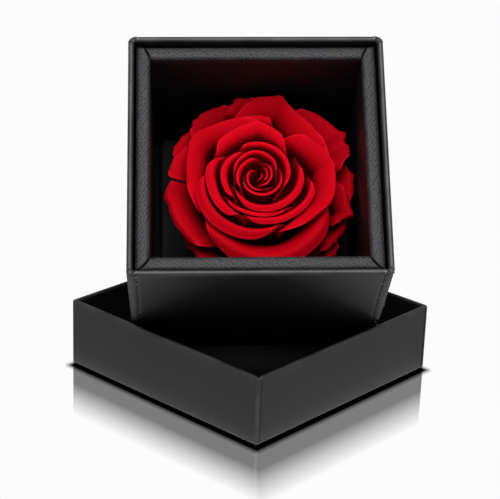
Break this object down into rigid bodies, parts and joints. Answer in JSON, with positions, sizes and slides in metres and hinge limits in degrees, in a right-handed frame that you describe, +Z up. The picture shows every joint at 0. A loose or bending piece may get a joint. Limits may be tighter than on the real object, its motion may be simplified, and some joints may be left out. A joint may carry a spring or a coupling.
{
  "type": "preserved rose in gift box",
  "caption": "Preserved red rose in a black paper-wrapped gift box that leans open-faced, nested cornerwise in its own upturned shallow lid.",
  "frame": {"origin": "centre of the upturned lid's outer face, on the surface that it lies on", "axes": "+Z up, -Y the way that the box's opening faces, +X to the right seen from the front"},
  "size_m": [0.147, 0.147, 0.14],
  "materials": {
    "wrap_paper": "black wrapping paper over grey board, satin, lightly worn along the folds",
    "collar_leatherette": "charcoal leatherette paper with a fine diagonal emboss, satin",
    "insert_card": "black uncoated card, matt",
    "rose_hip": "dyed dried flower base, matt",
    "rose_petal": "deep red, velvety, soft sheen"
  },
  "bodies": {
    "root": {"lid": "wrap_paper", "box": "wrap_paper", "collar_right": "collar_leatherette", "collar_back": "collar_leatherette", "collar_left": "collar_leatherette", "collar_front": "collar_leatherette", "insert": "insert_card", "rose_heart": "rose_hip", "petal_heart": "rose_petal", "petal_curl": "rose_petal", "petal_bud_left": "rose_petal", "petal_bud_right": "rose_petal", "petal_bud_front": "rose_petal", "petal_bud_back": "rose_petal", "petal_bud_outer": "rose_petal", "petal_ring_left": "rose_petal", "petal_ring_back": "rose_petal", "petal_ring_front": "rose_petal", "petal_ring_low": "rose_petal", "petal_ring_west": "rose_petal", "petal_ring_south": "rose_petal", "petal_cup_back": "rose_petal", "petal_cup_front": "rose_petal", "petal_wide_left": "rose_petal", "petal_wide_right": "rose_petal", "petal_wide_front": "rose_petal", "petal_wide_back": "rose_petal", "petal_tuck_back": "rose_petal", "petal_side_west": "rose_petal", "petal_skirt_west": "rose_petal", "petal_skirt_north_west": "rose_petal", "petal_skirt_north": "rose_petal", "petal_skirt_north_east": "rose_petal", "petal_skirt_south_east": "rose_petal", "petal_skirt_east": "rose_petal", "petal_low_north_west": "rose_petal", "petal_low_south_east": "rose_petal", "petal_low_south_west": "rose_petal", "petal_low_south": "rose_petal", "petal_low_front": "rose_petal"}
  },
  "joints": []
}
